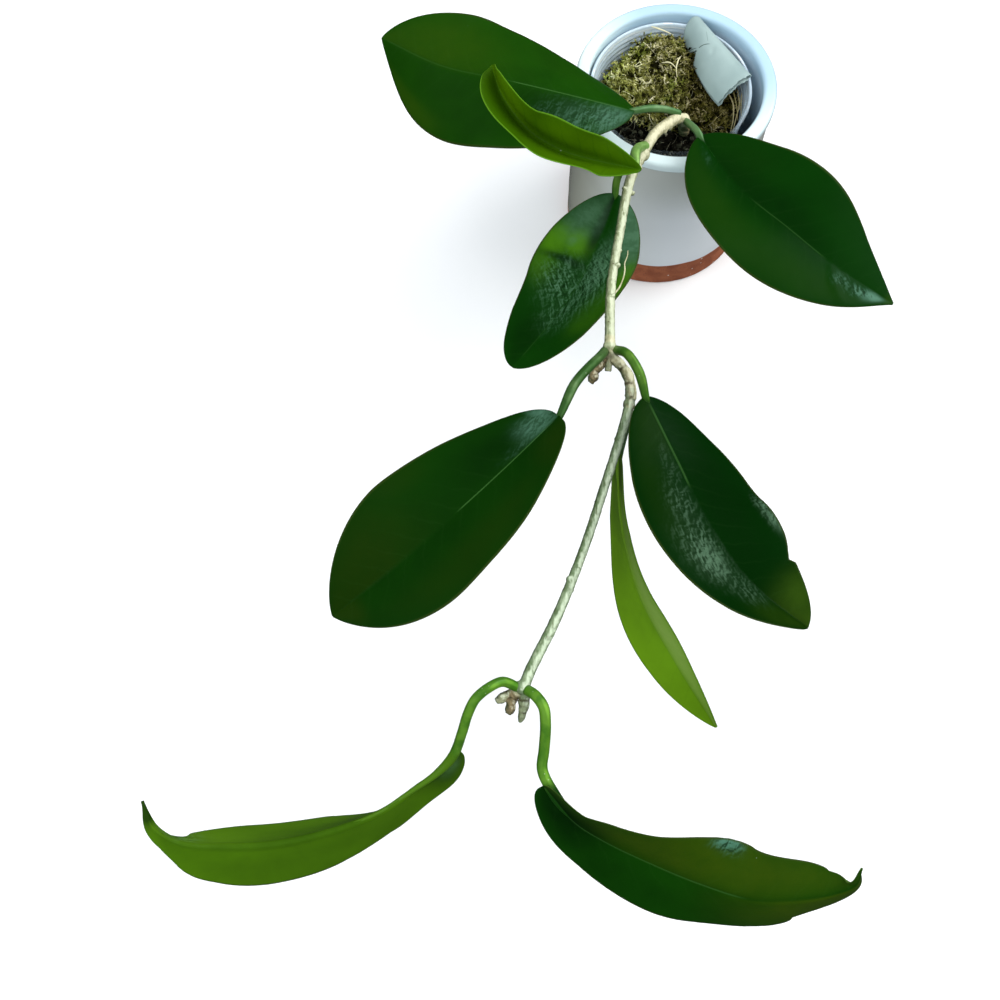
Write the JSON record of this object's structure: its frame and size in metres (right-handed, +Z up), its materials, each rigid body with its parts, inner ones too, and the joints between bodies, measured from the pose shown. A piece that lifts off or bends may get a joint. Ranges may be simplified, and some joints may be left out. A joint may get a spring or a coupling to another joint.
{
  "type": "potted hoya plant",
  "caption": "Potted hoya: glazed ceramic cover pot with a clear nursery liner, moss and a plant label, and a woody vine with leathery leaves that arches out over the rim.",
  "frame": {"origin": "centre of the cover pot's foot, on the surface that it stands on", "axes": "+Z up, -Y the way the vine arches out over the pot's front, +X to the right seen from there looking back at the pot"},
  "size_m": [0.3511, 0.473, 0.1828],
  "materials": {
    "glaze": "glossy pale blue-white glaze over bare terracotta at the foot",
    "clear_plastic": "thin clear moulded plastic",
    "potting_mix": "dark crumbly peat and bark",
    "moss": "dry olive and straw-coloured moss strands",
    "label_plastic": "greenish white plastic, slightly see-through",
    "vine_bark": "pale cream bark with fine dark specks",
    "mature_leaf": "waxy deep green with a blue-grey sheen",
    "young_leaf": "waxy bright yellow-green",
    "leaf_underside": "satin mid green with a raised midrib"
  },
  "bodies": {
    "root": {"cover_pot": "glaze", "nursery_liner": "clear_plastic", "potting_mix": "potting_mix", "moss_mound": "moss", "plant_label": "label_plastic", "vine_stem": "vine_bark", "leaf_1": "mature_leaf", "leaf_2": "mature_leaf", "leaf_3": "young_leaf", "leaf_4": "mature_leaf", "leaf_5": "mature_leaf", "leaf_6": "mature_leaf", "leaf_7": "leaf_underside", "leaf_8": "leaf_underside", "leaf_9": "mature_leaf"}
  },
  "joints": []
}
